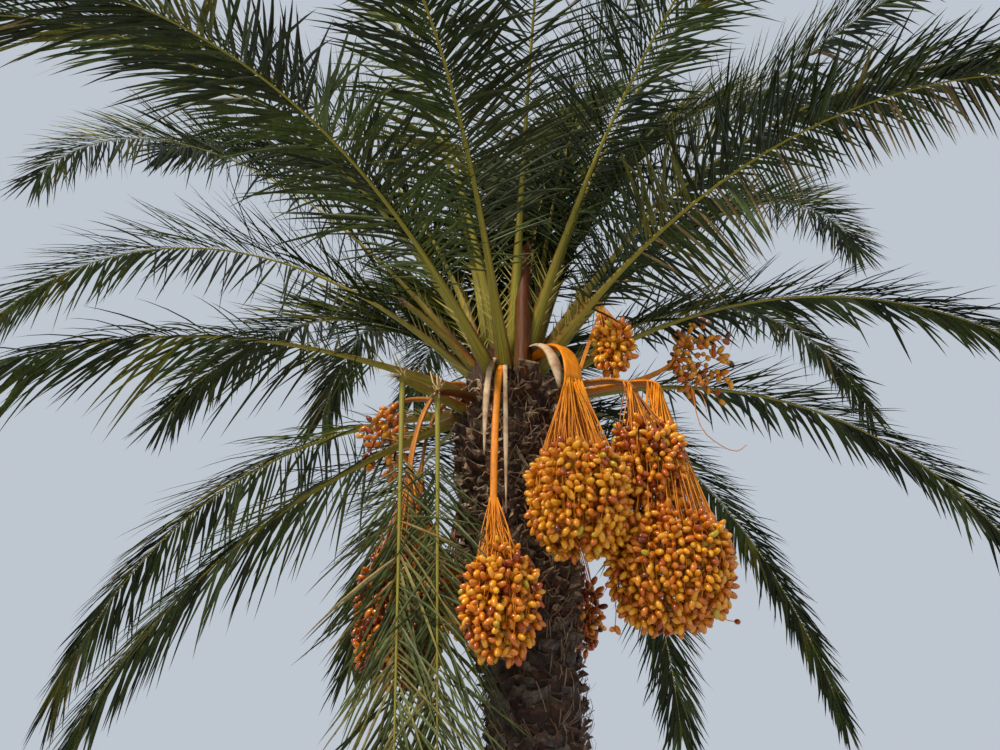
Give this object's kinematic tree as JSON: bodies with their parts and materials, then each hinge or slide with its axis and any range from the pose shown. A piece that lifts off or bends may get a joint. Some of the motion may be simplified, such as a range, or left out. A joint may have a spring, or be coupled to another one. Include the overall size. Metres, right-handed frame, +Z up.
{
  "type": "date palm tree",
  "caption": "Fruiting date palm: leaning trunk with cut leaf bases, arching feather fronds, two broken fronds and hanging bunches of dates, fixed at a flat cut at ground level.",
  "frame": {"origin": "middle of the flat cut under the trunk, at ground level", "axes": "+Z up, -Y towards the side the picture was taken from, +X to its right"},
  "size_m": [5.1427, 5.4025, 6.5713],
  "materials": {
    "trunk": "rough, fibrous",
    "frond": "waxy green blade",
    "frond_hanging": "dull grey-green blade",
    "petiole_stub": "smooth, dry ends",
    "date_bunch": "glossy ripe fruit on orange strands",
    "spathe": "dry, papery"
  },
  "bodies": {
    "root": {"date_bunch_back_left": "date_bunch", "date_bunch_back_right": "date_bunch", "date_bunch_far_left": "date_bunch", "date_bunch_far_right": "date_bunch", "date_bunch_front": "date_bunch", "date_bunch_front_left": "date_bunch", "date_bunch_left": "date_bunch", "date_bunch_left_inner": "date_bunch", "date_bunch_right_lower": "date_bunch", "date_bunch_right_top": "date_bunch", "date_bunch_right_upper": "date_bunch", "frond_back_left_curled_base": "frond", "frond_back_left_curled_tip": "frond", "frond_back_left_level": "frond", "frond_back_left_low": "frond", "frond_back_left_raised": "frond", "frond_back_left_steep": "frond", "frond_back_low": "frond", "frond_back_raised": "frond", "frond_back_right_long": "frond", "frond_back_right_low": "frond", "frond_back_right_steep": "frond", "frond_back_steep": "frond", "frond_front": "frond", "frond_front_left": "frond", "frond_front_left_steep": "frond", "frond_front_right_steep": "frond", "frond_front_steep": "frond", "frond_hanging_left": "frond_hanging", "frond_hanging_right": "frond_hanging", "frond_left_arching": "frond", "frond_left_curled_base": "frond", "frond_left_curled_tip": "frond", "frond_left_level": "frond", "frond_left_long": "frond", "frond_left_low": "frond", "frond_left_short": "frond", "frond_left_steep": "frond", "frond_left_upright": "frond", "frond_right_drooping_base": "frond", "frond_right_drooping_tip": "frond", "frond_right_far": "frond", "frond_right_far_arching": "frond", "frond_right_far_high": "frond", "frond_right_level_base": "frond", "frond_right_level_tip": "frond", "frond_right_near_high_base": "frond", "frond_right_near_high_tip": "frond", "frond_right_near_low_base": "frond", "frond_right_near_low_tip": "frond", "frond_right_raised": "frond", "frond_right_steep": "frond", "frond_right_upright": "frond", "petiole_stub_centre": "petiole_stub", "petiole_stub_left": "petiole_stub", "petiole_stub_left_high": "petiole_stub", "petiole_stub_low": "petiole_stub", "spathe_left": "spathe", "spathe_right": "spathe", "trunk": "trunk"}
  },
  "joints": []
}
